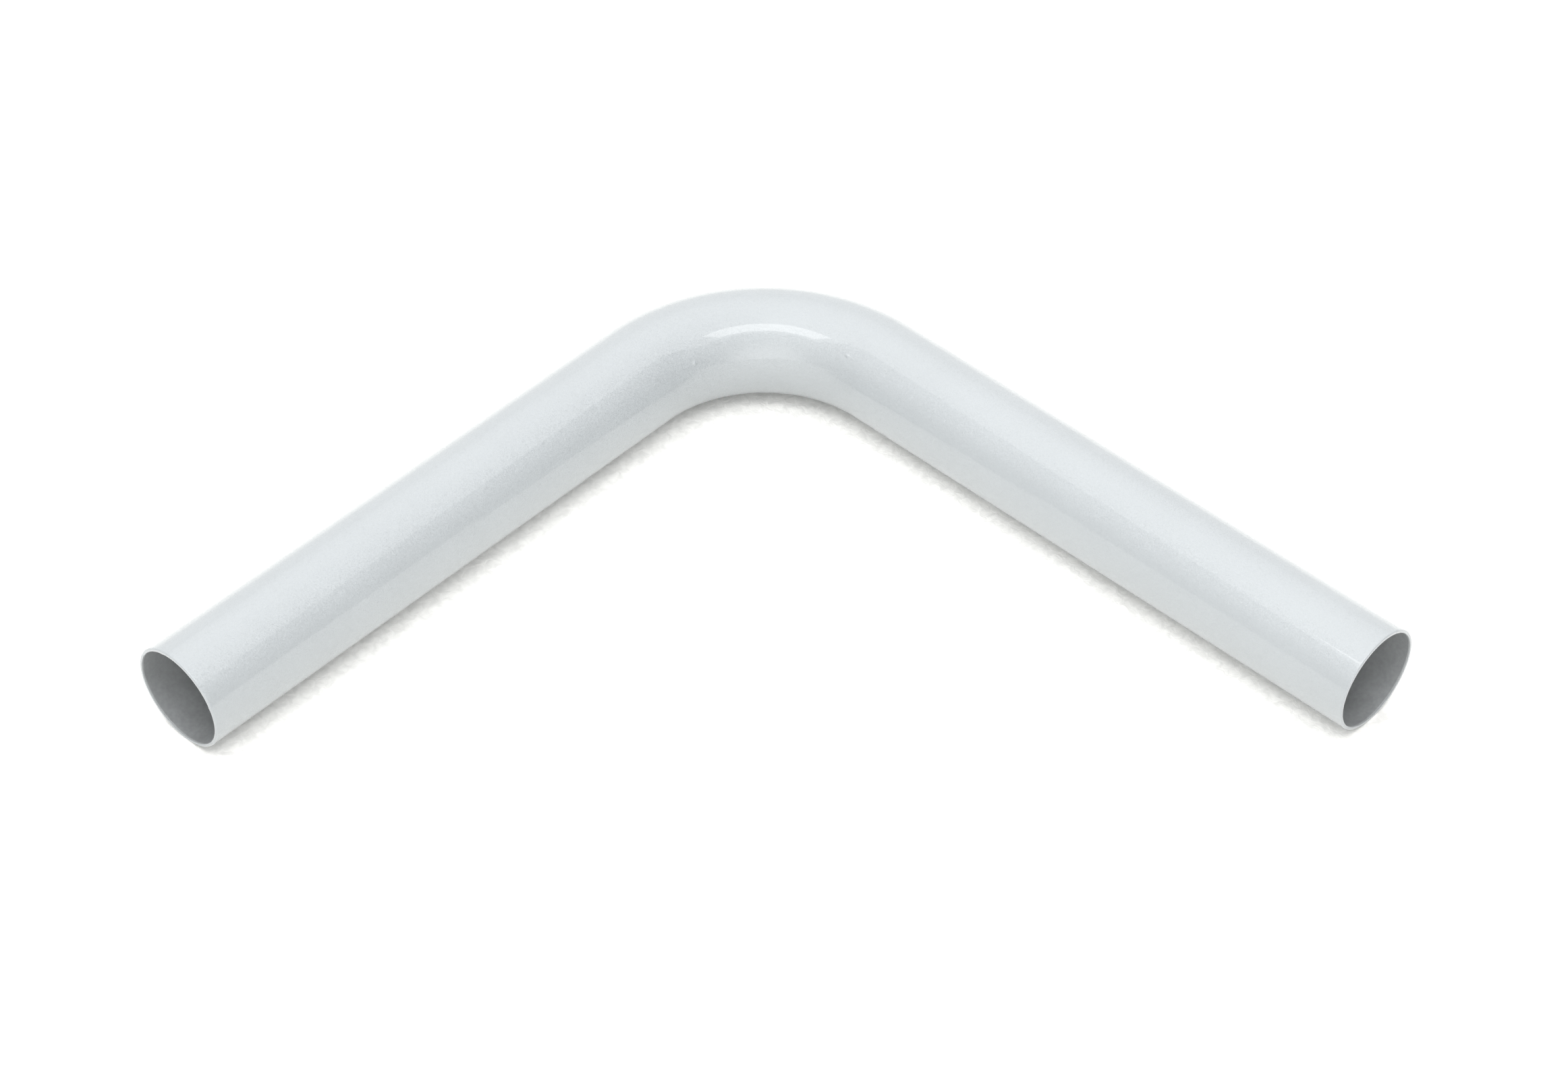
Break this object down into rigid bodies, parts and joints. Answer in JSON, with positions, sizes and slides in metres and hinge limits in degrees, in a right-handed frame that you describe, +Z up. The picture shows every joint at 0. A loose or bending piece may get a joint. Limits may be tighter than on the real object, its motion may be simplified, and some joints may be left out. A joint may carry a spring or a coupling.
{
  "type": "conduit elbow",
  "caption": "Thin-walled round conduit bent to a right-angle elbow with long straight legs, plain cut ends and a silver-grey coat outside.",
  "frame": {"origin": "middle of the part's footprint, on the surface it lies on", "axes": "+Z up, across both legs; one leg runs to its mouth along -X, the other along -Y"},
  "size_m": [0.247, 0.251, 0.032],
  "materials": {
    "tube_wall": "smooth, matt dark grey",
    "flake_coat": "light silver-grey with fine metallic flake under clear gloss"
  },
  "bodies": {
    "root": {"tube": "tube_wall", "coat": "flake_coat"}
  },
  "joints": []
}
